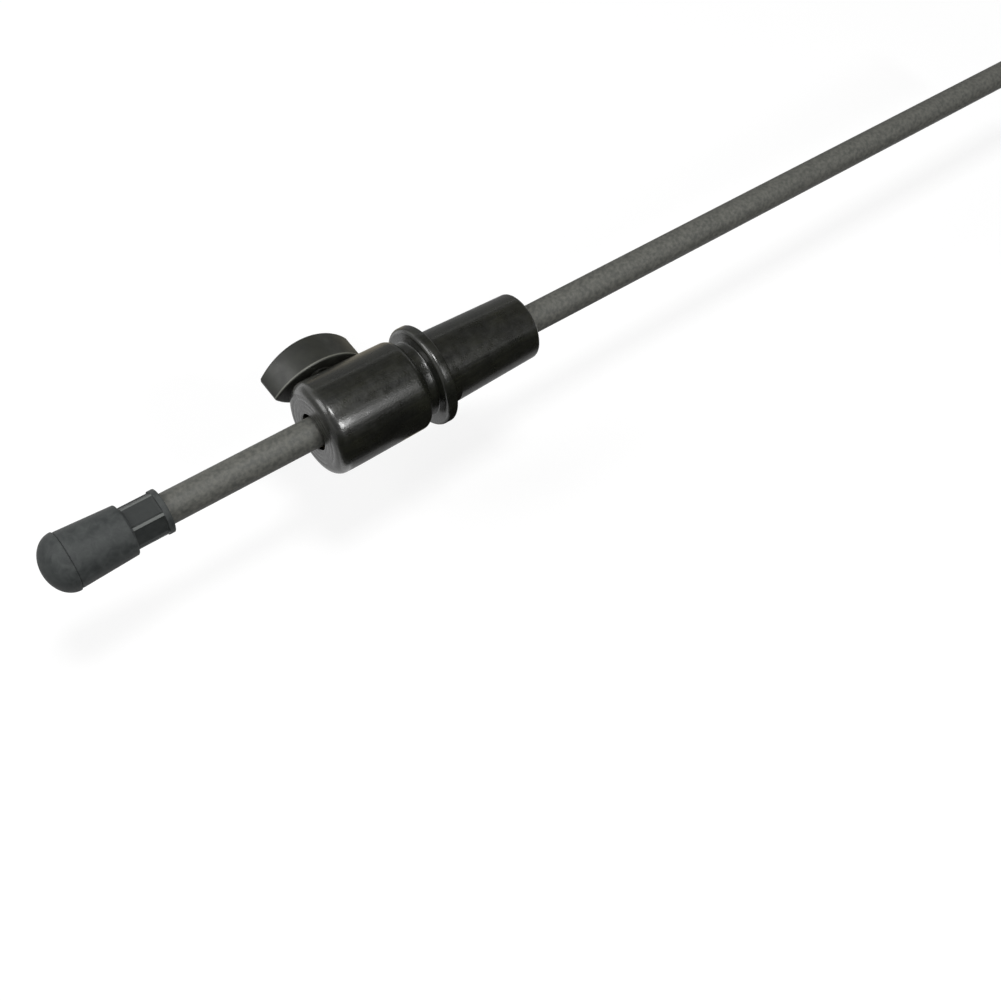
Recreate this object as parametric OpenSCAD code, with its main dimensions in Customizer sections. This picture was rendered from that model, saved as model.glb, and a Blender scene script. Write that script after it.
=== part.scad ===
/* [Rod] */
// Outside diameter of the steel rod
rod_d = 10; // [9:0.5:11]
// Wall of the rod's tube
rod_wall = 1.5; // [1.2:0.1:2]
// Length of the tube, without its point and its plug
rod_length = 460; // [380:10:520]
// Bare rod between the barrel's face and the rubber tip in the rest position
bare_rod = 51.6; // [10:0.5:120]
// Radial running fit of everything that slides or turns
run_fit = 0.05; // [0.03:0.01:0.08]

/* [Stopper] */
// Diameter of the collar that rests on the rib
collar_d = 34; // [32.6:0.2:37]
// Thickness of the collar
collar_t = 4; // [3.5:0.1:5]
// Radius of the polished round on the collar's rim
collar_round = 1.6; // [1:0.1:2]
// Width of the groove that takes the tailgut
groove_w = 3.6; // [3:0.1:4.2]
// Diameter at the bottom of the groove
groove_d = 24.8; // [23:0.2:26]
// Radius of the groove's two inner corners
groove_root = 0.6; // [0.3:0.1:0.9]
// Length of the barrel, from the groove to its face
barrel_l = 35.8; // [32:0.2:42]
// Barrel diameter beside its face
barrel_d = 31.5; // [30:0.1:33]
// Barrel diameter beside the groove
barrel_back_d = 30.6; // [29:0.1:32]
// Radius of the round at the barrel's face
face_round = 3.5; // [2:0.1:4.5]
// Radius of the round beside the groove
back_round = 2.2; // [1:0.1:3]
// Diameter of the hole's mouth in the face
mouth_d = 12.4; // [11.6:0.1:12.8]
// Depth of the mouth down to the guide tube
mouth_depth = 4; // [2:0.5:6]
// Width of the mouth's chamfer
mouth_chamfer = 0.5; // [0.2:0.1:0.8]
// Diameter of the tapered plug at the collar
plug_d = 25.4; // [24.5:0.1:26.5]
// Length of the tapered plug
plug_l = 38; // [30:1:45]
// Taper of the plug, length over loss of diameter
plug_taper = 17; // [14:1:20]
// Chamfer at the plug's end
plug_chamfer = 0.9; // [0.5:0.1:1.5]
// Wall of the brass guide tube
liner_wall = 1.5; // [1.2:0.1:1.8]

/* [Clamp screw] */
// Distance of the screw from the barrel's face
screw_back = 13.2; // [11:0.1:16]
// Thread diameter of the screw
screw_d = 6; // [5:0.5:6]
// Pitch of the thread
screw_pitch = 1; // [0.8:0.05:1.25]
// Depth of the thread
thread_depth = 0.5; // [0.3:0.05:0.55]
// Diameter of the brass thread bush
bush_d = 9; // [8.4:0.1:10]
// How far the bush lies below the barrel's surface
bush_sink = 0.9; // [0.8:0.1:1.4]
// Height of the pressure pad at its middle
pad_h = 3.2; // [2.6:0.1:3.6]
// Diameter of the screw's spigot that holds the pad
spigot_d = 3; // [2.4:0.1:3.4]
// Length of the spigot
spigot_l = 1.7; // [1.2:0.1:1.9]
// How far the screw's shank reaches into the knob
shank_in_knob = 8.5; // [7:0.5:10]

/* [Knob] */
// Gap between the barrel and the boss under the grip
knob_gap = 0.3; // [0.3:0.1:3]
// Height of the boss
boss_h = 0.4; // [0.3:0.1:1.5]
// Diameter of the boss
boss_d = 10; // [8.6:0.2:12]
// Length of the oval grip
knob_l = 32; // [28:0.5:36]
// Width of the grip at its middle
knob_w = 17; // [15:0.1:20]
// Width of the grip's two blunt ends
knob_end_w = 1; // [0.6:0.1:2]
// Height of the grip at its middle
knob_h = 11.1; // [10.4:0.1:13]
// How far the grip's top drops to its ends
crown_drop = 1.5; // [0.5:0.1:2.5]

/* [Rubber tip] */
// Length of the six-sided neck with its end ring
neck_l = 12.1; // [8:0.2:16]
// Diameter over the neck's ridges and of its end ring
neck_d = 14.2; // [13.6:0.1:15.4]
// Distance across the neck's flats
neck_flats = 12.7; // [12.4:0.1:13.2]
// Turn of the neck's ridges about the rod
neck_turn = 38.5; // [0:0.5:60]
// Length of the neck's end ring
neck_ring = 1.8; // [1:0.1:2.4]
// Length of the tip's body, from the neck to the dome
body_l = 18.6; // [14:0.2:24]
// Body diameter beside the neck
body_d = 16.2; // [15.8:0.1:17.4]
// Body diameter beside the dome
body_end_d = 17.9; // [17.2:0.1:18.4]
// Diameter of the dome's rim
dome_d = 18.6; // [18:0.1:20]
// Height of the dome
dome_h = 7.5; // [6:0.1:9]
// Depth of the parting groove behind the dome
part_depth = 0.35; // [0.2:0.05:0.6]
// Rubber left between the washer and the top of the dome
dome_skin = 4.2; // [3:0.1:5]
// Thickness of the steel washer in the tip
washer_t = 1.1; // [0.8:0.1:1.5]

/* [Rod ends] */
// Length of the steel point beyond the tube
spike_l = 10; // [8:0.2:12]
// Height of the point's round shoulder
spike_shoulder = 1.5; // [1:0.1:2]
// Length of the point's shank inside the tube
spike_shank = 12; // [8:1:20]
// Diameter at the end of the point
spike_end_d = 1; // [0.6:0.1:1.6]
// Thickness of the stop ring at the inner end
ring_t = 1.2; // [1:0.1:1.6]
// Outside diameter of the stop ring
ring_d = 12.8; // [12:0.2:14]
// Depth of the ring's groove in the tube
ring_groove = 0.6; // [0.4:0.05:0.8]
// Distance of the stop ring from the tube's inner end
ring_back = 7; // [5:0.5:15]
// Length of the plug's shank inside the tube
end_plug_l = 10; // [6:1:16]
// Thickness of the plug's head
end_head_t = 2; // [1.5:0.1:3]

/* [Hidden] */
$fn = 96;

rod_r = rod_d / 2;
tube_r = rod_r - rod_wall;
guide_r = rod_r + run_fit;
liner_r = guide_r + liner_wall;
face_x = -(collar_t + groove_w + barrel_l);
back_x = -(collar_t + groove_w);
liner_x = face_x + mouth_depth;
plug_end_d = plug_d - plug_l / plug_taper;
screw_x = face_x + screw_back;
// barrel radius where the screw enters
t_screw = (screw_back - face_round) / (barrel_l - face_round - back_round);
barrel_r = (barrel_d + (barrel_back_d - barrel_d) * t_screw) / 2;
screw_r = screw_d / 2;
bush_top = barrel_r - bush_sink;
bush_foot = liner_r + 0.05;
pad_r = screw_r - 0.16;
pad_hole_r = pad_r + run_fit;
pad_foot = rod_r + 0.02;
stud_foot = pad_foot + pad_h + run_fit;
knob_foot = barrel_d / 2 + knob_gap;
grip_foot = knob_foot + boss_h;
crown_top = grip_foot + knob_h;
half_l = knob_l / 2;
// radius of the grip's two flanks, which meet at its blunt ends
flank_rise = (knob_w - knob_end_w) / 2;
flank_r = (half_l * half_l + flank_rise * flank_rise) / (2 * flank_rise);
crown_r = (half_l * half_l + crown_drop * crown_drop) / (2 * crown_drop);

neck_x = face_x - bare_rod;
step_x = neck_x - neck_l;
dome_x = step_x - body_l;
dome_end = dome_x - dome_h;
washer_x = dome_end + dome_skin;
spike_end_x = washer_x + washer_t + 0.1;
rod_front = spike_end_x + spike_l;
rod_back = rod_front + rod_length;
tip_bore_r = rod_r + run_fit;
ring_x = rod_back - ring_back;

steel_black = [0.36, 0.36, 0.35];
wood_black = [0.13, 0.13, 0.12];
brass = [0.78, 0.63, 0.32];

// points of a round in a turned profile, radius first and length second
function round_pts(cr, cx, r, a0, a1, n = 8) =
    [for (i = [0:n]) let(a = a0 + (a1 - a0) * i / n) [cr + r * cos(a), cx + r * sin(a)]];

// turns a profile of [radius, x] points about the rod's axis
module turned(pts) {
    rotate([0, 90, 0])
        rotate_extrude()
            polygon(pts);
}

// cylinder along the rod's axis from xa to xb
module rod_cyl(xa, xb, r) {
    translate([min(xa, xb), 0, 0])
        rotate([0, 90, 0])
            cylinder(h = abs(xb - xa), r = r);
}

// cylinder along the screw's axis from ya to yb
module screw_cyl(ya, yb, r) {
    translate([screw_x, ya, 0])
        rotate([-90, 0, 0])
            cylinder(h = yb - ya, r = r);
}

// turned hardwood stopper: tapered plug, collar, tailgut groove and barrel
module stopper() {
    half_end = barrel_d / 2 - face_round;
    half_back = barrel_back_d / 2 - back_round;
    neck = groove_d / 2;
    rim = collar_d / 2 - collar_round;
    color(wood_black)
        difference() {
            turned(concat(
                [[mouth_d / 2, face_x + mouth_chamfer], [mouth_d / 2 + mouth_chamfer, face_x]],
                round_pts(half_end, face_x + face_round, face_round, -90, 0),
                round_pts(half_back, back_x - back_round, back_round, 0, 90),
                round_pts(neck + groove_root, back_x + groove_root, groove_root, 270, 180, 4),
                round_pts(neck + groove_root, -collar_t - groove_root, groove_root, 180, 90, 4),
                round_pts(rim, -collar_t + collar_round, collar_round, -90, 0),
                [[collar_d / 2, -0.5], [collar_d / 2 - 0.5, 0], [plug_d / 2, 0]],
                [[plug_end_d / 2, plug_l - plug_chamfer], [plug_end_d / 2 - plug_chamfer, plug_l]],
                [[liner_r, plug_l], [liner_r, liner_x], [mouth_d / 2, liner_x]]
            ));
            screw_cyl(0, barrel_r + 2, bush_d / 2);
        }
}

// brass tube that guides the rod through the stopper
module guide_tube() {
    color(brass)
        difference() {
            rod_cyl(liner_x, plug_l, liner_r);
            rod_cyl(liner_x - 1, plug_l + 1, guide_r);
            screw_cyl(0, liner_r + 1, pad_hole_r);
        }
}

// brass bush that carries the screw's thread
module thread_bush() {
    color(brass)
        difference() {
            screw_cyl(bush_foot, bush_top, bush_d / 2);
            screw_cyl(bush_foot - 1, bush_top + 1, screw_r + run_fit);
        }
}

// pressure pad, hollow toward the rod, held on the screw's spigot
module clamp_pad() {
    color(brass)
        difference() {
            screw_cyl(rod_r * 0.72, pad_foot + pad_h, pad_r);
            rod_cyl(screw_x - 5, screw_x + 5, pad_foot);
            screw_cyl(stud_foot - spigot_l - 0.2, stud_foot + 1, spigot_d / 2 + run_fit);
        }
}

// clamp screw: spigot, threaded length and the shank moulded into the knob
module screw_stud() {
    thread_end = knob_foot;
    turns = floor((thread_end - stud_foot - 1.2) / screw_pitch);
    root = screw_r - thread_depth;
    start = stud_foot + 0.6;
    color([0.62, 0.62, 0.61])
        translate([screw_x, 0, 0])
            rotate([-90, 0, 0])
                rotate_extrude()
                    polygon(concat(
                        [[0, stud_foot - spigot_l], [spigot_d / 2 - 0.2, stud_foot - spigot_l]],
                        [[spigot_d / 2, stud_foot - spigot_l + 0.2], [spigot_d / 2, stud_foot]],
                        [[screw_r - 0.6, stud_foot]],
                        [for (i = [0:turns - 1]) each [
                            [screw_r, start + i * screw_pitch],
                            [screw_r, start + (i + 0.15) * screw_pitch],
                            [root, start + (i + 0.5) * screw_pitch],
                            [root, start + (i + 0.65) * screw_pitch]]],
                        [[screw_r, start + turns * screw_pitch]],
                        [[screw_r, thread_end + shank_in_knob], [0, thread_end + shank_in_knob]]
                    ));
}

// oval plan of the grip between its two flanks
module grip_plan() {
    off = flank_r - knob_w / 2;
    intersection() {
        translate([0, -off])
            circle(r = flank_r, $fn = 240);
        translate([0, off])
            circle(r = flank_r, $fn = 240);
        square([knob_l, knob_w + 2], center = true);
    }
}

// moulded oval knob: upright flanks, a top that drops to both ends, and a round boss underneath
module screw_knob() {
    color([0.30, 0.31, 0.30])
        difference() {
            union() {
                intersection() {
                    translate([screw_x, grip_foot, 0])
                        rotate([-90, 0, 0])
                            linear_extrude(height = knob_h + 1)
                                grip_plan();
                    translate([screw_x, crown_top - crown_r, 0])
                        cylinder(h = knob_w + 4, r = crown_r, center = true, $fn = 240);
                }
                screw_cyl(knob_foot, grip_foot + 2, boss_d / 2);
            }
            screw_cyl(knob_foot - 1, knob_foot + shank_in_knob, screw_r);
        }
}

// steel tube with a groove for the stop ring near its inner end
module rod_tube() {
    c = 0.4;
    g = ring_x - run_fit;
    gt = ring_t + 2 * run_fit;
    color(steel_black)
        turned([
            [tube_r, rod_front], [rod_r - c, rod_front], [rod_r, rod_front + c],
            [rod_r, g], [rod_r - ring_groove, g], [rod_r - ring_groove, g + gt], [rod_r, g + gt],
            [rod_r, rod_back - c], [rod_r - c, rod_back], [tube_r, rod_back]
        ]);
}

// hardened point pressed into the front of the tube
module rod_spike() {
    s = rod_front - spike_shoulder;
    color([0.55, 0.55, 0.54])
        turned([
            [0, rod_front + spike_shank], [tube_r - 0.3, rod_front + spike_shank],
            [tube_r, rod_front + spike_shank - 0.3], [tube_r, rod_front],
            [rod_r - 0.4, rod_front], [rod_r - 0.4, s + 0.3], [rod_r - 0.7, s],
            [spike_end_d / 2, spike_end_x + 0.25], [spike_end_d / 4, spike_end_x], [0, spike_end_x]
        ]);
}

// plug that closes the tube's inner end
module rod_end_plug() {
    color([0.16, 0.16, 0.16])
        turned([
            [0, rod_back - end_plug_l], [tube_r - 0.4, rod_back - end_plug_l],
            [tube_r, rod_back - end_plug_l + 0.6], [tube_r, rod_back],
            [rod_r - 0.4, rod_back], [rod_r - 0.4, rod_back + end_head_t - 0.6],
            [rod_r - 1, rod_back + end_head_t], [0, rod_back + end_head_t]
        ]);
}

// ring in the tube's groove that stops the rod from being drawn out
module stop_ring() {
    inner = rod_r - ring_groove + run_fit;
    e = 0.25;
    color([0.62, 0.62, 0.61])
        turned([
            [inner, ring_x], [ring_d / 2 - e, ring_x], [ring_d / 2, ring_x + e],
            [ring_d / 2, ring_x + ring_t - e], [ring_d / 2 - e, ring_x + ring_t],
            [inner, ring_x + ring_t]
        ]);
}

// rubber tip: end ring, six-sided neck, body widening to the parting groove, dome
module rubber_tip() {
    groove_at = dome_x + 0.5;
    rim = body_end_d / 2 - part_depth;
    n = 14;
    color([0.27, 0.29, 0.29])
        difference() {
            union() {
                turned(concat(
                    [[0, step_x + 0.01], [body_d / 2 - 0.4, step_x + 0.01]],
                    [[body_d / 2, step_x - 0.4], [body_end_d / 2, groove_at + 0.3]],
                    [[rim, groove_at], [rim, dome_x], [dome_d / 2, dome_x]],
                    [for (i = [0:n]) let(a = 90 * i / n)
                        [dome_d / 2 * cos(a), dome_x - 0.3 - (dome_h - 0.3) * sin(a)]]
                ));
                rod_cyl(neck_x - neck_ring, neck_x, neck_d / 2);
                intersection() {
                    rod_cyl(step_x - 1, neck_x - 0.5, neck_d / 2);
                    translate([step_x - 1, 0, 0])
                        rotate([0, 90, 0])
                            rotate([0, 0, neck_turn])
                                cylinder(h = neck_l + 0.5, r = neck_flats / 2 / cos(30), $fn = 6);
                }
            }
            rod_cyl(washer_x, neck_x + 1, tip_bore_r);
        }
}

// steel washer at the bottom of the tip's bore, under the point
module tip_washer() {
    color([0.55, 0.55, 0.54])
        rod_cyl(washer_x, washer_x + washer_t, tip_bore_r - 0.1);
}

stopper();
guide_tube();
thread_bush();
clamp_pad();
screw_stud();
screw_knob();
rod_tube();
rod_spike();
rod_end_plug();
stop_ring();
rubber_tip();
tip_washer();
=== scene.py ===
import math

import bpy
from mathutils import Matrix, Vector


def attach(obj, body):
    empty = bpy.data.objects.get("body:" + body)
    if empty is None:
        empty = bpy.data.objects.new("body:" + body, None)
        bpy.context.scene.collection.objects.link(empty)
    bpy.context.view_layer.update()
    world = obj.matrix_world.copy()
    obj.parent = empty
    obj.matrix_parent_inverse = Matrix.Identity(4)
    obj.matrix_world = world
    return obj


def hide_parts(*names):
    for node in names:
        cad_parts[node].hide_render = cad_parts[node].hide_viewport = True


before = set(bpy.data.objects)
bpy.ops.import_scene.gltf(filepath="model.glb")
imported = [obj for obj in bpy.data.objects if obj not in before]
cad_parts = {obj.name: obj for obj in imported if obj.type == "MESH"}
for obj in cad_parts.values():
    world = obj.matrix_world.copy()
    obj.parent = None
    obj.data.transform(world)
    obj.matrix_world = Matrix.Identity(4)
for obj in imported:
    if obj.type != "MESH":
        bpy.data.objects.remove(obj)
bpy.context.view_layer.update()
print("frame loaded:", len(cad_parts), "nodes")

mm = 0.001
screwX = -30.2  # where the clamp screw's axis stands along the rod


# sRGB hex to the linear values that a socket takes
def toLinear(hexColour):
    values = []
    for i in (0, 2, 4):
        c = int(hexColour[i:i + 2], 16) / 255
        values.append(c / 12.92 if c <= 0.04045 else ((c + 0.055) / 1.055) ** 2.4)
    return (*values, 1.0)


# one node with its settings, ramp stops, socket values and links
def addNode(tree, kind, settings=None, values=None, links=None, stops=None):
    node = tree.nodes.new(kind)
    for name, value in (settings or {}).items():
        setattr(node, name, value)
    for element, (position, colour) in zip(node.color_ramp.elements if stops else (), stops or ()):
        element.position = position
        element.color = toLinear(colour)
    for socket, value in (values or {}).items():
        node.inputs[socket].default_value = value
    for socket, source in (links or {}).items():
        tree.links.new(source, node.inputs[socket])
    return node


# empty material with its output, shader and object coordinates
def startMaterial(name, constants):
    material = bpy.data.materials.new(name)
    material.use_nodes = True
    tree = material.node_tree
    tree.nodes.clear()
    shader = addNode(tree, "ShaderNodeBsdfPrincipled", values=constants)
    addNode(tree, "ShaderNodeOutputMaterial", links={"Surface": shader.outputs["BSDF"]})
    place = addNode(tree, "ShaderNodeTexCoord").outputs["Object"]
    return material, tree, shader, place


# turned hardwood, stained black and lacquered: near black with faint brown streaks along the grain,
# and a soft gloss that the pores break into specks; the streaks are drawn at about twice their real
# width, so that they show
ebony = {
    "darkColour": "131411", "streakColour": "21221a", "streakWidth": 0.9, "streakStretch": 0.08,
    "cloudSize": 8.0, "poreSize": 0.62, "poreDepth": 0.052, "ringStep": 0.70, "ringDepth": 0.0015,
    "patchSize": 2.6, "roughLow": 0.26, "roughHigh": 0.40, "coatWeight": 0.70, "coatRoughness": 0.19,
}


def lacqueredHardwood():
    e = ebony
    material, tree, shader, place = startMaterial("ebonised_hardwood_lacquered", {
        "IOR": 1.5, "Coat Weight": e["coatWeight"], "Coat Roughness": e["coatRoughness"], "Coat IOR": 1.5})
    along = addNode(tree, "ShaderNodeMapping", values={"Scale": (e["streakStretch"], 1, 1)},
                    links={"Vector": place}).outputs["Vector"]
    streaks = addNode(tree, "ShaderNodeTexNoise", values={"Scale": 1000 / e["streakWidth"], "Detail": 3.0},
                      links={"Vector": along}).outputs["Fac"]
    clouds = addNode(tree, "ShaderNodeTexNoise", values={"Scale": 1000 / e["cloudSize"], "Detail": 2.0},
                     links={"Vector": place}).outputs["Fac"]
    mixed = addNode(tree, "ShaderNodeMath", {"operation": "MULTIPLY"},
                    links={0: streaks, 1: clouds}).outputs["Value"]
    addNode(tree, "ShaderNodeValToRGB", links={"Fac": mixed},
            stops=[(0.14, e["darkColour"]), (0.42, e["streakColour"])])
    tree.links.new(tree.nodes["Color Ramp"].outputs["Color"], shader.inputs["Base Color"])
    patches = addNode(tree, "ShaderNodeTexNoise", values={"Scale": 1000 / e["patchSize"], "Detail": 3.0},
                      links={"Vector": place}).outputs["Fac"]
    rough = addNode(tree, "ShaderNodeMapRange", values={
        "From Min": 0.32, "From Max": 0.68, "To Min": e["roughLow"], "To Max": e["roughHigh"]},
        links={"Value": patches}).outputs["Result"]
    tree.links.new(rough, shader.inputs["Roughness"])
    pores = addNode(tree, "ShaderNodeTexNoise", values={"Scale": 1000 / e["poreSize"], "Detail": 2.0},
                    links={"Vector": place}).outputs["Fac"]
    relief = addNode(tree, "ShaderNodeMath", {"operation": "ADD"}, links={0: pores, 1: streaks}).outputs["Value"]
    poreBump = addNode(tree, "ShaderNodeBump", values={"Strength": 1.0, "Distance": e["poreDepth"] * mm},
                       links={"Height": relief}).outputs["Normal"]
    # a wave's period is pi / 10 over its scale
    rings = addNode(tree, "ShaderNodeTexWave", {"wave_type": "RINGS", "rings_direction": "X"},
                    {"Scale": math.pi / 10 / (e["ringStep"] * mm), "Distortion": 2.5, "Detail": 3.0, "Detail Scale": 2.0},
                    {"Vector": place}).outputs["Fac"]
    ringBump = addNode(tree, "ShaderNodeBump", values={"Strength": 0.4, "Distance": e["ringDepth"] * mm},
                       links={"Height": rings, "Normal": poreBump}).outputs["Normal"]
    tree.links.new(ringBump, shader.inputs["Normal"])
    return material


# drawn steel tube with a black oxide and a film of oil: dark grey, satin, with a faint cloud in the
# oxide and fine lines along the draw
rodSteel = {
    "darkColour": "4b4c48", "lightColour": "65655f", "cloudSize": 1.3, "lineWidth": 0.30, "lineStretch": 0.02,
    "roughLow": 0.50, "roughHigh": 0.68, "lineDepth": 0.006,
}


def oxidisedSteel():
    r = rodSteel
    material, tree, shader, place = startMaterial("black_oxide_steel", {"Metallic": 0.0, "IOR": 1.5})
    clouds = addNode(tree, "ShaderNodeTexNoise", values={"Scale": 1000 / r["cloudSize"], "Detail": 5.0},
                     links={"Vector": place}).outputs["Fac"]
    colour = addNode(tree, "ShaderNodeValToRGB", links={"Fac": clouds},
                     stops=[(0.34, r["darkColour"]), (0.68, r["lightColour"])]).outputs["Color"]
    tree.links.new(colour, shader.inputs["Base Color"])
    drawn = addNode(tree, "ShaderNodeMapping", values={"Scale": (r["lineStretch"], 1, 1)},
                    links={"Vector": place}).outputs["Vector"]
    lines = addNode(tree, "ShaderNodeTexNoise", values={"Scale": 1000 / r["lineWidth"], "Detail": 3.0},
                    links={"Vector": drawn}).outputs["Fac"]
    mixed = addNode(tree, "ShaderNodeMath", {"operation": "MULTIPLY_ADD"}, {1: 0.5},
                    {0: lines, 2: clouds}).outputs["Value"]
    rough = addNode(tree, "ShaderNodeMapRange", values={
        "From Min": 0.5, "From Max": 1.0, "To Min": r["roughLow"], "To Max": r["roughHigh"]},
        links={"Value": mixed}).outputs["Result"]
    tree.links.new(rough, shader.inputs["Roughness"])
    bump = addNode(tree, "ShaderNodeBump", values={"Strength": 0.4, "Distance": r["lineDepth"] * mm},
                   links={"Height": mixed}).outputs["Normal"]
    tree.links.new(bump, shader.inputs["Normal"])
    return material


# moulded rubber: blue-grey black and dull, with pale dusty scuffs and a fine mould grain; the neck's flats are darkened
# with painted shade and its ridges drawn pale as a painted highlight
rubber = {
    # the neck's darker colour is painted shade on its flats, and the pale ridge colour is a painted highlight
    "baseColour": "343737", "dustColour": "4c4f4e", "neckShadeColour": "252827", "wearAndHighlightColour": "6b6e6c",
    "scuffSize": 2.6, "grainSize": 0.45, "roughLow": 0.52, "roughHigh": 0.70, "grainDepth": 0.022,
    "neck": (-101.75, 4.85), "neckShadeShare": 0.62, "ridgeFrom": 7.05, "ridgeTo": 7.10,
}


def mouldedRubber():
    r = rubber
    material, tree, shader, place = startMaterial("moulded_rubber", {"IOR": 1.52, "Specular IOR Level": 0.3})
    scuffs = addNode(tree, "ShaderNodeTexNoise",
                     values={"Scale": 1000 / r["scuffSize"], "Detail": 6.0, "Roughness": 0.6, "Distortion": 0.5},
                     links={"Vector": place}).outputs["Fac"]
    colour = addNode(tree, "ShaderNodeValToRGB", links={"Fac": scuffs},
                     stops=[(0.36, r["baseColour"]), (0.76, r["dustColour"])]).outputs["Color"]
    # painted shade darkens the neck's flats, and a painted highlight draws its ridges pale
    across = addNode(tree, "ShaderNodeMapping", values={"Scale": (0, 1, 1)}, links={"Vector": place}).outputs["Vector"]
    radius = addNode(tree, "ShaderNodeVectorMath", {"operation": "LENGTH"}, links={0: across}).outputs["Value"]
    ridgeHighlightMask = addNode(tree, "ShaderNodeMapRange", values={
        "From Min": r["ridgeFrom"] * mm, "From Max": r["ridgeTo"] * mm}, links={"Value": radius}).outputs["Result"]
    along = addNode(tree, "ShaderNodeSeparateXYZ", links={"Vector": place}).outputs["X"]
    middle, reach = [n * mm for n in r["neck"]]
    onNeck = addNode(tree, "ShaderNodeMath", {"operation": "COMPARE"}, {1: middle, 2: reach},
                     {0: along}).outputs["Value"]
    share = addNode(tree, "ShaderNodeMath", {"operation": "MULTIPLY"}, {1: r["neckShadeShare"]},
                    {0: onNeck}).outputs["Value"]
    shadedNeck = addNode(tree, "ShaderNodeMix", {"data_type": "RGBA"}, {7: toLinear(r["neckShadeColour"])},
                    {0: share, 6: colour}).outputs[2]
    wearAndHighlight = addNode(tree, "ShaderNodeMath", {"operation": "MULTIPLY"},
                     links={0: ridgeHighlightMask, 1: onNeck}).outputs["Value"]
    neckShadeAndHighlight = addNode(tree, "ShaderNodeMix", {"data_type": "RGBA"}, {7: toLinear(r["wearAndHighlightColour"])},
                   {0: wearAndHighlight, 6: shadedNeck}).outputs[2]
    tree.links.new(neckShadeAndHighlight, shader.inputs["Base Color"])
    rough = addNode(tree, "ShaderNodeMapRange", values={
        "From Min": 0.35, "From Max": 0.7, "To Min": r["roughLow"], "To Max": r["roughHigh"]},
        links={"Value": scuffs}).outputs["Result"]
    tree.links.new(rough, shader.inputs["Roughness"])
    grain = addNode(tree, "ShaderNodeTexNoise", values={"Scale": 1000 / r["grainSize"], "Detail": 3.0},
                    links={"Vector": place}).outputs["Fac"]
    bump = addNode(tree, "ShaderNodeBump", values={"Strength": 0.4, "Distance": r["grainDepth"] * mm},
                   links={"Height": grain}).outputs["Normal"]
    tree.links.new(bump, shader.inputs["Normal"])
    return material


# moulded nylon from a spark-eroded mould: charcoal with a low sheen, a little paler where fingers rub it, and a pale
# band along the flank's lower rim that is a painted highlight
knobNylon = {
    "baseColour": "1e1f1b", "wearAndHighlightColour": "30312c", "rubSize": 5.0, "textureSize": 0.3,
    "roughLow": 0.36, "roughHigh": 0.5, "textureDepth": 0.012, "rimColour": "6a6b63", "rim": (16.7, 16.95, 17.05, 17.4),
}
# the rod's inner plug is the same plastic with a smoother skin
plugNylon = {
    "baseColour": "141413", "wearAndHighlightColour": "252522", "rubSize": 3.0, "textureSize": 0.25,
    "roughLow": 0.35, "roughHigh": 0.55, "textureDepth": 0.01,
}


def mouldedNylon(name, n):
    material, tree, shader, place = startMaterial(name, {"IOR": 1.53})
    wearAndHighlight = addNode(tree, "ShaderNodeTexNoise", values={"Scale": 1000 / n["rubSize"], "Detail": 4.0},
                     links={"Vector": place}).outputs["Fac"]
    colour = addNode(tree, "ShaderNodeValToRGB", links={"Fac": wearAndHighlight},
                     stops=[(0.36, n["baseColour"]), (0.72, n["wearAndHighlightColour"])]).outputs["Color"]
    if "rim" in n:
        # painted highlight: the flank's lower rim is drawn pale, where its rounded edge would catch the light
        height = addNode(tree, "ShaderNodeSeparateXYZ", links={"Vector": place}).outputs["Y"]
        foot, low, high, top = [h * mm for h in n["rim"]]
        rises = addNode(tree, "ShaderNodeMapRange", values={"From Min": foot, "From Max": low},
                        links={"Value": height}).outputs["Result"]
        falls = addNode(tree, "ShaderNodeMapRange", values={"From Min": high, "From Max": top, "To Min": 1, "To Max": 0},
                        links={"Value": height}).outputs["Result"]
        rimHighlightShare = addNode(tree, "ShaderNodeMath", {"operation": "MULTIPLY"}, links={0: rises, 1: falls}).outputs["Value"]
        colour = addNode(tree, "ShaderNodeMix", {"data_type": "RGBA"}, {7: toLinear(n["rimColour"])},
                         {0: rimHighlightShare, 6: colour}).outputs[2]
    tree.links.new(colour, shader.inputs["Base Color"])
    rough = addNode(tree, "ShaderNodeMapRange", values={
        "From Min": 0.3, "From Max": 0.7, "To Min": n["roughHigh"], "To Max": n["roughLow"]},
        links={"Value": wearAndHighlight}).outputs["Result"]
    tree.links.new(rough, shader.inputs["Roughness"])
    grain = addNode(tree, "ShaderNodeTexNoise", values={"Scale": 1000 / n["textureSize"], "Detail": 2.0},
                    links={"Vector": place}).outputs["Fac"]
    bump = addNode(tree, "ShaderNodeBump", values={"Strength": 0.4, "Distance": n["textureDepth"] * mm},
                   links={"Height": grain}).outputs["Normal"]
    tree.links.new(bump, shader.inputs["Normal"])
    return material


# turned metals: the tool leaves fine rings about the piece's axis, and handling leaves a cloudy film
metals = {
    "turned_brass": {"low": "8f6f35", "high": "b8954e", "step": 0.35, "axis": "X", "rough": (0.24, 0.42)},
    "turned_brass_bush": {"low": "8f6f35", "high": "b8954e", "step": 0.35, "axis": "Y", "rough": (0.24, 0.42)},
    "zinc_plated_steel": {"low": "7e7f7d", "high": "a8a9a6", "step": 0.30, "axis": "Y", "rough": (0.26, 0.44)},
    "spring_steel": {"low": "5c5d5b", "high": "858683", "step": 0.30, "axis": "X", "rough": (0.30, 0.50)},
    "hardened_steel": {"low": "585a5c", "high": "8b8d8f", "step": 0.25, "axis": "X", "rough": (0.22, 0.38)},
}


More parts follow.
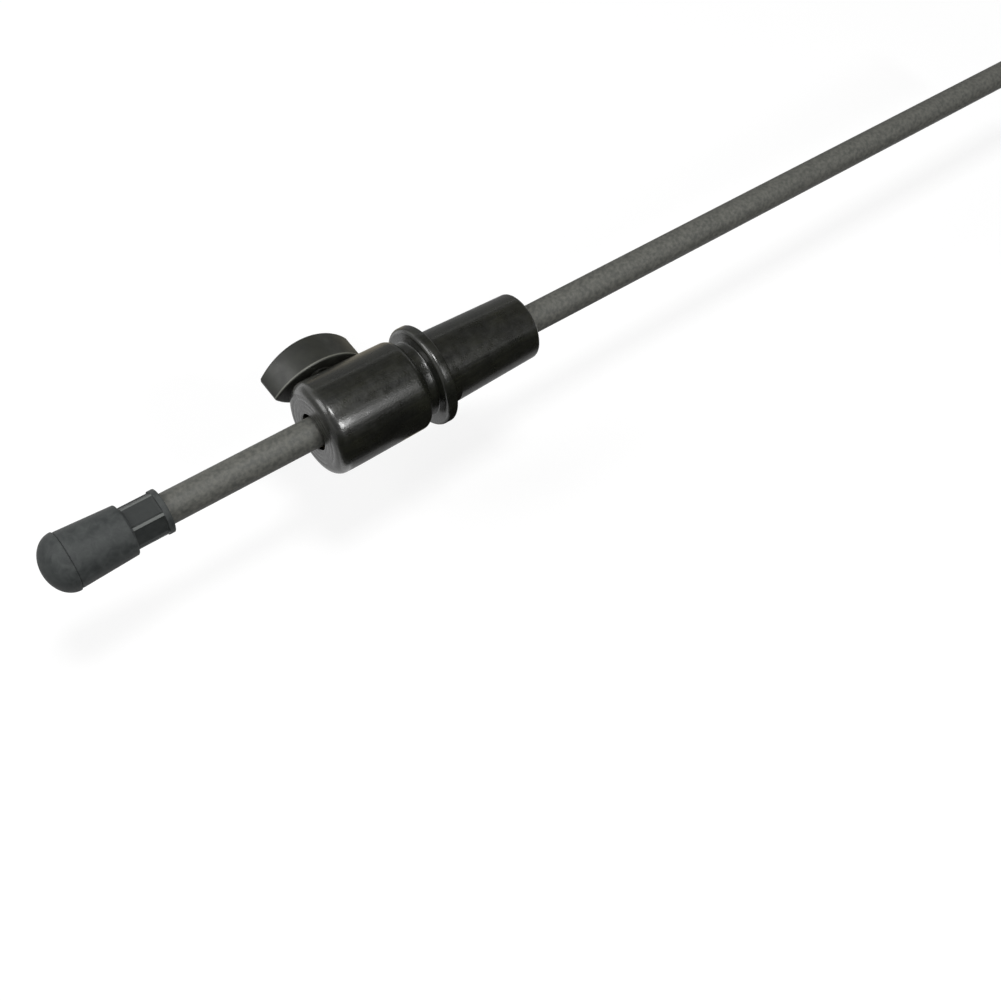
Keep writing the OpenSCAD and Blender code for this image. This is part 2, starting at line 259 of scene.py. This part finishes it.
def turnedMetal(name):
    m = metals[name]
    material, tree, shader, place = startMaterial(name, {"Metallic": 1.0})
    film = addNode(tree, "ShaderNodeTexNoise", values={"Scale": 420.0, "Detail": 5.0, "Roughness": 0.6},
                   links={"Vector": place}).outputs["Fac"]
    colour = addNode(tree, "ShaderNodeValToRGB", links={"Fac": film},
                     stops=[(0.35, m["low"]), (0.7, m["high"])]).outputs["Color"]
    tree.links.new(colour, shader.inputs["Base Color"])
    rough = addNode(tree, "ShaderNodeMapRange", values={
        "From Min": 0.3, "From Max": 0.7, "To Min": m["rough"][0], "To Max": m["rough"][1]},
        links={"Value": film}).outputs["Result"]
    tree.links.new(rough, shader.inputs["Roughness"])
    rings = addNode(tree, "ShaderNodeTexWave", {"wave_type": "BANDS", "bands_direction": m["axis"]},
                    {"Scale": math.pi / 10 / (m["step"] * mm), "Distortion": 0.8, "Detail": 2.0},
                    {"Vector": place}).outputs["Fac"]
    bump = addNode(tree, "ShaderNodeBump", values={"Strength": 0.25, "Distance": 0.006 * mm},
                   links={"Height": rings}).outputs["Normal"]
    tree.links.new(bump, shader.inputs["Normal"])
    return material


woodFinish = lacqueredHardwood()
rodFinish = oxidisedSteel()
rubberFinish = mouldedRubber()
nylonFinish = mouldedNylon("moulded_nylon", knobNylon)
plugFinish = mouldedNylon("moulded_plug_plastic", plugNylon)
metalFinish = {name: turnedMetal(name) for name in metals}
print("materials made:", len(bpy.data.materials))


def deselectAll():
    if bpy.context.object and bpy.context.object.mode != "OBJECT":
        bpy.ops.object.mode_set(mode="OBJECT")
    bpy.ops.object.select_all(action="DESELECT")


def activate(piece):
    deselectAll()
    piece.select_set(True)
    bpy.context.view_layer.objects.active = piece


# place on the rod's axis, or on the clamp screw's axis
def onAxis(axis, position):
    return (position * mm, 0, 0) if axis == "X" else (screwX * mm, position * mm, 0)


# ring or disc that is extruded and scaled from place to place; places are (position, radius) in mm
def turned(name, axis, places, capped=False, steps=128):
    deselectAll()
    start, radius = places[0]
    bpy.ops.mesh.primitive_circle_add(
        vertices=steps, radius=radius * mm, fill_type="TRIFAN" if capped else "NOTHING",
        location=onAxis(axis, start), rotation=(0, math.pi / 2, 0) if axis == "X" else (-math.pi / 2, 0, 0))
    piece = bpy.context.object
    piece.name = name
    bpy.ops.object.transform_apply(location=True, rotation=True, scale=True)
    bpy.ops.object.mode_set(mode="EDIT")
    bpy.ops.mesh.select_mode(type="FACE" if capped else "EDGE")
    bpy.ops.mesh.select_all(action="SELECT")
    for position, nextRadius in places[1:]:
        step = (position - start) * mm
        bpy.ops.mesh.extrude_region_move(TRANSFORM_OT_translate={
            "value": (step, 0, 0) if axis == "X" else (0, step, 0), "orient_type": "GLOBAL"})
        s = nextRadius / radius
        if abs(s - 1) > 1e-9:
            bpy.ops.transform.resize(value=(1, s, s) if axis == "X" else (s, 1, s), orient_type="GLOBAL",
                                     center_override=onAxis(axis, position))
        start, radius = position, nextRadius
    closeUp(piece)
    return piece


# merges doubles, turns the faces outwards and smooths what isn't an edge
def closeUp(piece, smoothAngle=32):
    activate(piece)
    bpy.ops.object.mode_set(mode="EDIT")
    bpy.ops.mesh.select_mode(type="VERT")
    bpy.ops.mesh.select_all(action="SELECT")
    bpy.ops.mesh.remove_doubles(threshold=0.002 * mm)
    bpy.ops.mesh.normals_make_consistent(inside=False)
    bpy.ops.object.mode_set(mode="OBJECT")
    # a shell whose volume comes out negative has been turned the wrong way
    piece.data.calc_loop_triangles()
    volume = 0
    for triangle in piece.data.loop_triangles:
        a, b, c = [piece.data.vertices[i].co for i in triangle.vertices]
        volume += a.dot(b.cross(c))
    if volume < 0:
        bpy.ops.object.mode_set(mode="EDIT")
        bpy.ops.mesh.flip_normals()
        bpy.ops.object.mode_set(mode="OBJECT")
    bpy.ops.object.shade_smooth_by_angle(angle=math.radians(smoothAngle))


# quarter or part of a round in a turned profile
def arc(centre, radius, r, fromDeg, toDeg, count=8):
    places = []
    for i in range(count + 1):
        a = math.radians(fromDeg + (toDeg - fromDeg) * i / count)
        places.append((centre + r * math.sin(a), radius + r * math.cos(a)))
    return places


def combine(piece, other, operation):
    activate(piece)
    step = piece.modifiers.new(operation.lower(), "BOOLEAN")
    step.operation = operation
    step.object = other
    step.solver = "EXACT"
    bpy.ops.object.modifier_apply(modifier=step.name)
    bpy.data.objects.remove(other)


def dress(piece, body, material, node):
    piece.data.materials.clear()
    piece.data.materials.append(material)
    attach(piece, body)
    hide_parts(node)


# turned stopper: lengths along the rod from the collar's seat, radii about the rod, all in mm
stopper = {
    "faceX": -43.4, "backX": -7.6, "collarX": -4.0, "mouthRadius": 6.2, "mouthRound": 0.5, "guideX": -39.4,
    "faceRadius": 15.75, "faceRound": 3.5, "grooveSideRadius": 15.3, "backRound": 2.8,
    "grooveRadius": 12.4, "grooveRoot": 0.6, "collarRadius": 16.99, "collarRound": 1.6,
    "plugRadius": 12.7, "plugEndRadius": 11.582, "plugLength": 38.0, "plugRound": 0.9, "boreRadius": 6.55,
    "toolRings": [(7.5, 0.03, 0.16), (9.3, 0.02, 0.14), (11.15, 0.05, 0.22)],
    "screwHoleRadius": 4.5, "easeDrop": 0.12, "easeLength": 7.0,
}


def makeStopper():
    s = stopper
    places = [(s["guideX"], s["boreRadius"]), (s["guideX"], s["mouthRadius"])]
    # mouth rounded over to the face
    m = s["mouthRound"]
    places += [(s["faceX"] + m - m * math.sin(math.radians(a)), s["mouthRadius"] + m - m * math.cos(math.radians(a)))
               for a in range(0, 91, 18)]
    # rings that the facing tool left
    for radius, depth, width in s["toolRings"]:
        places += [(s["faceX"], radius - width), (s["faceX"] + depth * 0.8, radius - width * 0.4),
                   (s["faceX"] + depth, radius), (s["faceX"] + depth * 0.8, radius + width * 0.4),
                   (s["faceX"], radius + width)]
    # the shoulder's round eases into the barrel over a few millimetres
    r = s["faceRound"]
    places += arc(s["faceX"] + r, s["faceRadius"] - s["easeDrop"] - r, r, -90, -3, 14)
    # barrel in a few stations, so that the hole for the screw has even faces round it
    firstX, lastX = s["faceX"] + r, s["backX"] - s["backRound"]
    for i in range(1, 24):
        t = i / 24
        ease = s["easeDrop"] * max(0, 1 - (lastX - firstX) * t / s["easeLength"]) ** 2
        places.append((firstX + (lastX - firstX) * t,
                       s["faceRadius"] + (s["grooveSideRadius"] - s["faceRadius"]) * t - ease))
    b = s["backRound"]
    places += arc(lastX, s["grooveSideRadius"] - b, b, 0, 90, 10)
    g = s["grooveRoot"]
    places += [(s["backX"] + g - g * math.cos(math.radians(a)), s["grooveRadius"] + g - g * math.sin(math.radians(a)))
               for a in (0, 22, 45, 68, 90)]
    places += [(s["collarX"] - g + g * math.sin(math.radians(a)), s["grooveRadius"] + g - g * math.cos(math.radians(a)))
               for a in (0, 22, 45, 68, 90)]
    c = s["collarRound"]
    places += arc(s["collarX"] + c, s["collarRadius"] - c, c, -90, 0, 10)
    places += arc(-0.5, s["collarRadius"] - 0.5, 0.5, 0, 90, 5)
    places += [(0, s["plugRadius"] + 0.02), (0.02, s["plugRadius"])]
    e = s["plugRound"]
    places += arc(s["plugLength"] - e, s["plugEndRadius"] - e, e, 0, 90, 6)
    places += [(s["plugLength"], s["boreRadius"]), (s["guideX"], s["boreRadius"])]
    piece = turned("turned_stopper", "X", places, steps=144)
    hole = turned("screw_hole_cutter", "Y", [(0, s["screwHoleRadius"]), (14.55, s["screwHoleRadius"]),
                                             (15.8, s["screwHoleRadius"] + 0.35), (19, s["screwHoleRadius"] + 0.5)],
                  capped=True, steps=72)
    combine(piece, hole, "DIFFERENCE")
    closeUp(piece)
    dress(piece, "stopper", woodFinish, "stopper")
    return piece


makeStopper()
print("stopper made")


rod = {
    "frontX": -117.8, "backX": 342.2, "radius": 5.0, "boreRadius": 3.5, "edgeRound": 0.4,
    "ringGrooveX": 335.15, "ringGrooveWidth": 1.3, "ringGrooveDepth": 0.6,
}


def makeRod():
    r = rod
    e = r["edgeRound"]
    g = r["ringGrooveX"]
    places = [(r["frontX"], r["boreRadius"])]
    places += arc(r["frontX"] + e, r["radius"] - e, e, -90, 0, 5)
    places += [(g, r["radius"]), (g, r["radius"] - r["ringGrooveDepth"]),
               (g + r["ringGrooveWidth"], r["radius"] - r["ringGrooveDepth"]), (g + r["ringGrooveWidth"], r["radius"])]
    places += arc(r["backX"] - e, r["radius"] - e, e, 0, 90, 5)
    places += [(r["backX"], r["boreRadius"]), (r["frontX"], r["boreRadius"])]
    piece = turned("drawn_rod", "X", places, steps=128)
    dress(piece, "rod", rodFinish, "rod_tube")
    return piece


makeRod()
print("rod made")


tip = {
    "neckX": -95.0, "stepX": -107.1, "domeX": -125.7, "domeEnd": -133.2, "boreEnd": -129.0, "boreRadius": 5.05,
    "neckRadius": 7.1, "neckRing": 1.8, "flatDistance": 6.35, "ridgeTurn": 8.5, "bodyRadius": 8.1,
    "bodyEndRadius": 8.95, "domeRadius": 9.3, "partDepth": 0.22, "lipRound": 0.25,
    "panelMargin": 0.55, "panelDepth": 0.28,
}


def makeRubberTip():
    t = tip
    height = t["domeX"] - t["domeEnd"]
    # dome from the pole to its rim, then the parting line
    places = []
    for i in range(2, 27):
        a = math.radians(90 * i / 26)
        places.append((t["domeX"] - 0.3 - (height - 0.3) * math.cos(a), t["domeRadius"] * math.sin(a)))
    places += [(t["domeX"] - 0.12, t["domeRadius"] - 0.02), (t["domeX"], t["domeRadius"] - 0.12),
               (t["domeX"] + 0.06, t["bodyEndRadius"] - t["partDepth"]),
               (t["domeX"] + 0.16, t["bodyEndRadius"] - t["partDepth"]),
               (t["domeX"] + 0.3, t["bodyEndRadius"] - 0.05), (t["domeX"] + 0.85, t["bodyEndRadius"])]
    for i in range(1, 8):
        f = i / 8
        places.append((t["domeX"] + 0.85 + (t["stepX"] - 0.5 - t["domeX"] - 0.85) * f,
                       t["bodyEndRadius"] + (t["bodyRadius"] - t["bodyEndRadius"]) * f))
    places += arc(t["stepX"] - 0.45, t["bodyRadius"] - 0.45, 0.45, 0, 90, 6)
    # fillet up to the neck, the neck and its end ring
    places += [(t["stepX"] + 0.02, t["neckRadius"] + 0.15), (t["stepX"] + 0.15, t["neckRadius"])]
    ringX = t["neckX"] - t["neckRing"]
    for i in range(1, 13):
        places.append((t["stepX"] + 0.15 + (ringX - 0.12 - t["stepX"] - 0.15) * i / 12, t["neckRadius"]))
    places += [(ringX, t["neckRadius"]), (ringX + 0.1, t["neckRadius"])]
    e = t["lipRound"]
    places += arc(t["neckX"] - e, t["neckRadius"] - e, e, 0, 90, 5)
    places += [(t["neckX"], t["boreRadius"] + 0.25), (t["neckX"] - 0.25, t["boreRadius"]),
               (t["boreEnd"], t["boreRadius"])]
    piece = turned("rubber_foot", "X", places, capped=True, steps=180)
    # six flats pressed into the neck, each laid flat across its own direction
    activate(piece)
    for k in range(6):
        angle = math.radians(t["ridgeTurn"] + 30 + 60 * k)
        outward = (0, math.cos(angle), math.sin(angle))
        sideways = (0, -math.sin(angle), math.cos(angle))
        flat = t["flatDistance"] * mm
        bpy.ops.object.mode_set(mode="EDIT")
        bpy.ops.mesh.select_all(action="DESELECT")
        bpy.ops.mesh.select_mode(type="VERT")
        bpy.ops.object.mode_set(mode="OBJECT")
        for v in piece.data.vertices:
            along = v.co.x / mm
            out = v.co.y * outward[1] + v.co.z * outward[2]
            v.select = t["stepX"] + 0.1 < along < ringX - 0.05 and out > flat
        bpy.ops.object.mode_set(mode="EDIT")
        bpy.ops.transform.resize(
            value=(1, 1, 0), orient_type="GLOBAL",
            orient_matrix=((1, 0, 0), sideways, outward), orient_matrix_type="GLOBAL",
            center_override=(0, outward[1] * flat, outward[2] * flat))
        # the flat's panel is sunk inside a narrow margin
        bpy.ops.mesh.select_all(action="DESELECT")
        bpy.ops.mesh.select_mode(type="FACE")
        bpy.ops.object.mode_set(mode="OBJECT")
        for face in piece.data.polygons:
            out = face.center.y * outward[1] + face.center.z * outward[2]
            face.select = (t["stepX"] + 0.1 < face.center.x / mm < ringX - 0.05 and abs(out - flat) < 0.01 * mm)
        bpy.ops.object.mode_set(mode="EDIT")
        bpy.ops.mesh.inset(thickness=t["panelMargin"] * mm, depth=-t["panelDepth"] * mm, use_boundary=True)
        bpy.ops.object.mode_set(mode="OBJECT")
    closeUp(piece, 24)
    dress(piece, "tip", rubberFinish, "rubber_tip")
    return piece


makeRubberTip()
print("rubber tip made")


# moulded oval knob: upright flanks that meet at two blunt ends, a top that drops to the ends, and a
# round boss underneath; heights are out along the clamp screw
knob = {
    "bossFoot": 16.05, "bossRadius": 5.0, "gripFoot": 16.45, "height": 11.1, "halfLength": 16.0, "width": 17.0,
    "endWidth": 1.0, "crownDrop": 1.5, "edgeRound": 0.65, "shankRadius": 3.0, "shankDepth": 8.5,
}


# plain drum along the clamp screw, or upright, that cuts the knob's outline
def drum(name, centre, radius, length, upright=False, steps=240):
    deselectAll()
    bpy.ops.mesh.primitive_cylinder_add(
        vertices=steps, radius=radius * mm, depth=length * mm, location=[c * mm for c in centre],
        rotation=(0, 0, 0) if upright else (math.pi / 2, 0, 0))
    piece = bpy.context.object
    piece.name = name
    bpy.ops.object.transform_apply(location=True, rotation=True, scale=True)
    return piece


# rounds the grip's rims, and leaves the sharp edges of the boss and of the socket
def roundRims(piece, size, segments, beyond, sharpness=50):
    activate(piece)
    bpy.ops.object.mode_set(mode="EDIT")
    bpy.ops.mesh.select_mode(type="EDGE")
    bpy.ops.mesh.select_all(action="DESELECT")
    bpy.ops.mesh.edges_select_sharp(sharpness=math.radians(sharpness))
    bpy.ops.object.mode_set(mode="OBJECT")
    corners = piece.data.vertices
    for edge in piece.data.edges:
        middle = (corners[edge.vertices[0]].co + corners[edge.vertices[1]].co) / 2
        if math.hypot(middle.x - screwX * mm, middle.z) < beyond * mm:
            edge.select = False
    bpy.ops.object.mode_set(mode="EDIT")
    bpy.ops.mesh.bevel(offset=size * mm, offset_type="OFFSET", segments=segments, profile=0.5,
                       affect="EDGES", clamp_overlap=False)
    bpy.ops.object.mode_set(mode="OBJECT")


def makeKnob():
    k = knob
    rise = (k["width"] - k["endWidth"]) / 2
    flankRadius = (k["halfLength"] ** 2 + rise ** 2) / (2 * rise)
    crownRadius = (k["halfLength"] ** 2 + k["crownDrop"] ** 2) / (2 * k["crownDrop"])
    side = flankRadius - k["width"] / 2
    middle = k["gripFoot"] + k["height"] / 2
    grip = drum("oval_knob", (screwX, middle, -side), flankRadius, k["height"])
    combine(grip, drum("other_flank", (screwX, middle, side), flankRadius, k["height"] + 4), "INTERSECT")
    # both ends cut blunt
    activate(grip)
    bpy.ops.object.mode_set(mode="EDIT")
    for end in (-1, 1):
        bpy.ops.mesh.select_all(action="SELECT")
        bpy.ops.mesh.bisect(plane_co=((screwX + end * k["halfLength"]) * mm, 0, 0), plane_no=(end, 0, 0),
                            use_fill=True, clear_outer=True)
    bpy.ops.object.mode_set(mode="OBJECT")
    crownCentre = k["gripFoot"] + k["height"] - crownRadius
    combine(grip, drum("crown", (screwX, crownCentre, 0), crownRadius, k["width"] + 6, upright=True, steps=720),
            "INTERSECT")
    boss = turned("knob_boss", "Y", [(k["bossFoot"], k["bossRadius"] - 0.25), (k["bossFoot"] + 0.2, k["bossRadius"]),
                                     (k["gripFoot"] + 1.5, k["bossRadius"])], capped=True, steps=72)
    combine(grip, boss, "UNION")
    socket = turned("knob_socket", "Y", [(k["bossFoot"] - 1, k["shankRadius"]),
                                         (k["bossFoot"] + k["shankDepth"], k["shankRadius"])], capped=True, steps=72)
    combine(grip, socket, "DIFFERENCE")
    roundRims(grip, k["edgeRound"], 4, k["bossRadius"] + 0.5)
    closeUp(grip, 40)
    # the crown's long strips shade evenly when large faces lead the normals
    evenShade = grip.modifiers.new("even_shade", "WEIGHTED_NORMAL")
    evenShade.keep_sharp = True
    bpy.ops.object.modifier_apply(modifier=evenShade.name)
    dress(grip, "screw", nylonFinish, "screw_knob")
    return grip


makeKnob()
print("knob made")

# clamp screw: spigot, core with a swept thread, and the shank that is moulded into the knob
clampScrew = {
    "spigotFoot": 6.57, "spigotRadius": 1.5, "shoulder": 8.27, "rootRadius": 2.5, "crestRadius": 3.0,
    "threadStart": 8.9, "pitch": 1.0, "turns": 7, "shankFoot": 16.05, "shankEnd": 24.55,
}


def makeClampScrew():
    s = clampScrew
    core = turned("clamp_screw", "Y", [
        (s["spigotFoot"], s["spigotRadius"] - 0.2), (s["spigotFoot"] + 0.2, s["spigotRadius"]),
        (s["shoulder"], s["spigotRadius"]), (s["shoulder"], s["rootRadius"] - 0.35),
        (s["shoulder"] + 0.35, s["rootRadius"]), (s["shankFoot"] - 0.15, s["rootRadius"]),
        (s["shankFoot"], s["crestRadius"]),
        (s["shankEnd"], s["crestRadius"])], capped=True, steps=72)
    # one ridge of the thread, a small trapezium swept once round for every turn
    deselectAll()
    bpy.ops.mesh.primitive_plane_add(size=1, location=(0, 0, 0), rotation=(math.pi / 2, 0, 0))
    ridge = bpy.context.object
    ridge.name = "thread_ridge"
    bpy.ops.object.transform_apply(location=True, rotation=True, scale=True)
    p, depth = s["pitch"] * mm, (s["crestRadius"] - s["rootRadius"] + 0.1) * mm
    for v in ridge.data.vertices:
        outer = v.co.x > 0
        v.select = outer
    bpy.ops.object.mode_set(mode="EDIT")
    bpy.ops.mesh.select_mode(type="VERT")
    bpy.ops.mesh.select_all(action="SELECT")
    bpy.ops.transform.resize(value=(depth, 1, p * 0.82), orient_type="GLOBAL", center_override=(0, 0, 0))
    bpy.ops.object.mode_set(mode="OBJECT")
    for v in ridge.data.vertices:
        v.select = v.co.x > 0
    bpy.ops.object.mode_set(mode="EDIT")
    bpy.ops.transform.resize(value=(1, 1, 0.18), orient_type="GLOBAL", center_override=(0, 0, 0))
    bpy.ops.mesh.select_all(action="SELECT")
    bpy.ops.transform.translate(value=((s["crestRadius"]) * mm - depth / 2, 0, 0), orient_type="GLOBAL")
    bpy.ops.object.mode_set(mode="OBJECT")
    activate(ridge)
    sweep = ridge.modifiers.new("thread", "SCREW")
    sweep.axis = "Z"
    sweep.screw_offset = p
    sweep.iterations = s["turns"]
    sweep.steps = sweep.render_steps = 48
    bpy.ops.object.modifier_apply(modifier=sweep.name)
    bpy.ops.object.mode_set(mode="EDIT")
    bpy.ops.mesh.select_all(action="SELECT")
    bpy.ops.mesh.fill_holes(sides=4)
    bpy.ops.object.mode_set(mode="OBJECT")
    # the sweep runs up Z, so it is laid along the screw's own axis
    ridge.rotation_euler = (-math.pi / 2, 0, 0)
    ridge.location = (screwX * mm, s["threadStart"] * mm, 0)
    bpy.ops.object.transform_apply(location=True, rotation=True, scale=True)
    deselectAll()
    ridge.select_set(True)
    core.select_set(True)
    bpy.context.view_layer.objects.active = core
    bpy.ops.object.join()
    closeUp(core, 28)
    dress(core, "screw", metalFinish["zinc_plated_steel"], "screw_stud")
    return core


makeClampScrew()
print("clamp screw made")


# nodes whose own shape stays, with their finish
keptNodes = {
    "guide_tube": metalFinish["turned_brass"], "thread_bush": metalFinish["turned_brass_bush"],
    "clamp_pad": metalFinish["turned_brass_bush"], "rod_spike": metalFinish["hardened_steel"],
    "rod_end_plug": plugFinish, "stop_ring": metalFinish["spring_steel"], "tip_washer": metalFinish["hardened_steel"],
}
for name, finish in keptNodes.items():
    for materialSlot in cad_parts[name].material_slots:
        materialSlot.material = finish
print("kept nodes dressed:", len(keptNodes))


# floor and light; lengths in mm, light in watts. The floor is pale grey to the light it bounces, and
# white to the camera and in the gloss
stage = {
    "floorZ": -65.0, "floorColour": "969696", "floorShown": 0.74, "worldStrength": 0.22, "worldColour": "fdfdfd",
    "nearFloor": 400.0, "farFloor": 2200.0, "farShown": 0.96,
}
softboxes = {
    "top_softbox": {"place": (-60, -165, 1240), "size": (320, 235), "power": 6.6},
    "front_softbox": {"place": (-1000, 450, 1060), "size": (760, 760), "power": 8.8},
    "side_softbox": {"place": (262, -825, 845), "size": (110, 280), "power": 3.8},
}
# cards that only the gloss sees, as flags and panels shape the gloss in a studio
cards = {
    "near_flag": {"centre": (0, -475, 208), "size": (3000, 1009), "turn": (-32.6, 0, 0), "colour": "201f1d"},
    "far_panel": {"centre": (1480, 487, 208), "size": (3000, 988), "turn": (33.4, 0, 0), "colour": "858585"},
    "left_panel": {"centre": (-632, 0, 208), "size": (1082, 3000), "turn": (0, 30.2, 0), "colour": "aaaaaa"},
    "right_panel": {"centre": (1200, 0, 200), "size": (530, 3000), "turn": (0, 90, 0), "colour": "5e5c58"},
    "near_card": {"centre": (5, -143, -2), "size": (125, 275), "turn": (0, 90, 0), "colour": "1c1a18"},
    "far_card": {"centre": (5, 140, -30), "size": (69, 291), "turn": (0, 90, 0), "colour": "a8a294"},
    "under_card": {"centre": (45, 12, -64), "size": (130, 124), "turn": (0, 0, 0), "colour": "8f8f8f"},
    "face_card": {"centre": (-85, 28, -64), "size": (124, 95), "turn": (0, 0, 0), "colour": "c8c8c8"},
    "ceiling_panel": {"centre": (-1000, 0, 1500), "size": (3000, 5000), "turn": (0, 0, 0), "colour": "9c9c9c"},
    "ceiling_flag": {"centre": (1500, 0, 1500), "size": (2000, 5000), "turn": (0, 0, 0), "colour": "55534f"},
}


# rays that show the white of the floor and the world
def shownRays(tree):
    path = addNode(tree, "ShaderNodeLightPath")
    either = addNode(tree, "ShaderNodeMath", {"operation": "MAXIMUM"},
                     links={0: path.outputs["Is Camera Ray"], 1: path.outputs["Is Glossy Ray"]}).outputs["Value"]
    return addNode(tree, "ShaderNodeMath", {"operation": "MAXIMUM"},
                   links={0: either, 1: path.outputs["Is Transmission Ray"]}).outputs["Value"]


def makeFloor():
    deselectAll()
    bpy.ops.mesh.primitive_plane_add(size=6, location=(0, 0, stage["floorZ"] * mm))
    floor = bpy.context.object
    floor.name = "pale_floor"
    material, tree, shader, place = startMaterial("pale_floor", {
        "Base Color": toLinear(stage["floorColour"]), "Roughness": 0.9, "Specular IOR Level": 0.0,
        "Emission Color": (1, 1, 1, 1)})
    # far from the lamps the floor gives more of its own white, so that it meets the world's white
    distance = addNode(tree, "ShaderNodeVectorMath", {"operation": "LENGTH"}, links={0: place}).outputs["Value"]
    white = addNode(tree, "ShaderNodeMapRange", values={
        "From Min": stage["nearFloor"] * mm, "From Max": stage["farFloor"] * mm,
        "To Min": stage["floorShown"], "To Max": stage["farShown"]}, links={"Value": distance}).outputs["Result"]
    shown = addNode(tree, "ShaderNodeMath", {"operation": "MULTIPLY"}, links={0: white, 1: shownRays(tree)}).outputs["Value"]
    tree.links.new(shown, shader.inputs["Emission Strength"])
    floor.data.materials.append(material)


def makeWorld():
    world = bpy.data.worlds.new("studio_white")
    bpy.context.scene.world = world
    world.use_nodes = True
    tree = world.node_tree
    tree.nodes.clear()
    light = addNode(tree, "ShaderNodeBackground",
                    values={"Color": (1, 1, 1, 1), "Strength": stage["worldStrength"]}).outputs["Background"]
    white = addNode(tree, "ShaderNodeBackground",
                    values={"Color": toLinear(stage["worldColour"]), "Strength": 1.0}).outputs["Background"]
    mix = addNode(tree, "ShaderNodeMixShader", links={0: shownRays(tree), 1: light, 2: white}).outputs["Shader"]
    addNode(tree, "ShaderNodeOutputWorld", links={"Surface": mix})


def makeSoftbox(name, settings):
    light = bpy.data.lights.new(name, "AREA")
    light.shape = "RECTANGLE"
    light.size, light.size_y = [s * mm for s in settings["size"]]
    light.energy = settings["power"]
    lamp = bpy.data.objects.new(name, light)
    bpy.context.scene.collection.objects.link(lamp)
    lamp.location = [c * mm for c in settings["place"]]
    away = Vector(settings["place"]) - Vector((-40, 0, 0))
    lamp.rotation_euler = away.to_track_quat("Z", "Y").to_euler()


def makeCard(name, settings):
    deselectAll()
    bpy.ops.mesh.primitive_plane_add(size=1, location=[c * mm for c in settings["centre"]],
                                     rotation=[math.radians(a) for a in settings["turn"]])
    card = bpy.context.object
    card.name = name
    card.scale = (settings["size"][0] * mm, settings["size"][1] * mm, 1)
    bpy.ops.object.transform_apply(location=True, rotation=True, scale=True)
    material = bpy.data.materials.new(name)
    material.use_nodes = True
    tree = material.node_tree
    tree.nodes.clear()
    glow = addNode(tree, "ShaderNodeEmission", values={"Color": toLinear(settings["colour"]), "Strength": 1.0})
    addNode(tree, "ShaderNodeOutputMaterial", links={"Surface": glow.outputs["Emission"]})
    card.data.materials.append(material)
    card.visible_camera = card.visible_diffuse = card.visible_shadow = card.visible_transmission = False


def makeCamera():
    settings = {"place": (-170.544, -192.981, 323.563), "turn": (32.7958, -7.1316, -37.7855), "lens": 45.785}
    data = bpy.data.cameras.new("photo_camera")
    data.lens = settings["lens"]
    data.sensor_width = 36
    data.clip_start, data.clip_end = 0.01, 20
    camera = bpy.data.objects.new("photo_camera", data)
    camera.location = [c * mm for c in settings["place"]]
    camera.rotation_euler = [math.radians(a) for a in settings["turn"]]
    bpy.context.scene.collection.objects.link(camera)
    bpy.context.scene.camera = camera


makeFloor()
makeWorld()
for name, settings in softboxes.items():
    makeSoftbox(name, settings)
for name, settings in cards.items():
    makeCard(name, settings)
makeCamera()
bpy.context.scene.view_settings.view_transform = "Standard"
print("stage set")
